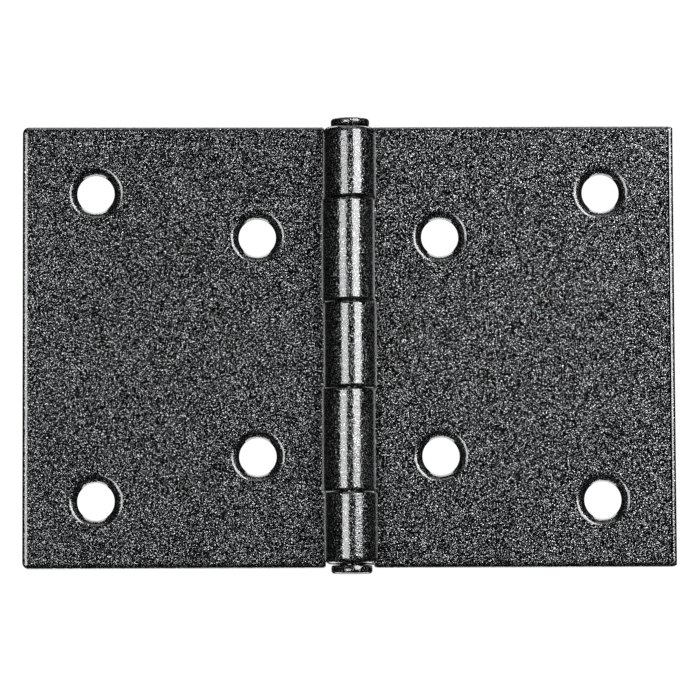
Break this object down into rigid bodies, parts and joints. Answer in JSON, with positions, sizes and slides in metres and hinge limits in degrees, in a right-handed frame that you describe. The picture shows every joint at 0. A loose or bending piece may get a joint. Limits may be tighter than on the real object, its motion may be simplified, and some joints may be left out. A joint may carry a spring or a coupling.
{
  "type": "door hinge",
  "caption": "Wide butt hinge: two flat sheet-steel leaves with countersunk screw holes, rolled into knuckles round a headed pin, powder coated.",
  "frame": {"origin": "middle of the pin, on the hinge's turning axis, which is also the centre of the opened hinge's box", "axes": "+Z along the pin; +X from the pin towards the leaf with three knuckles; +Y out of the leaves' flat backs, so the barrel and the countersinks face -Y"},
  "size_m": [0.0884, 0.0068, 0.0618],
  "materials": {
    "leaf_coat": "semi-gloss antique silver-black powder coat with fine silver flecks",
    "pin_coat": "semi-gloss antique silver-black powder coat with fine silver flecks"
  },
  "bodies": {
    "frame_side": {"frame_leaf": "leaf_coat", "hinge_pin": "pin_coat"},
    "door_side": {"door_leaf": "leaf_coat"}
  },
  "joints": [
    {"name": "leaf_swing", "type": "hinge", "parent": "frame_side", "child": "door_side", "pos_m": [0, 0, 0], "axis": [0, 0, 1], "range_deg": [-84, 180]}
  ]
}
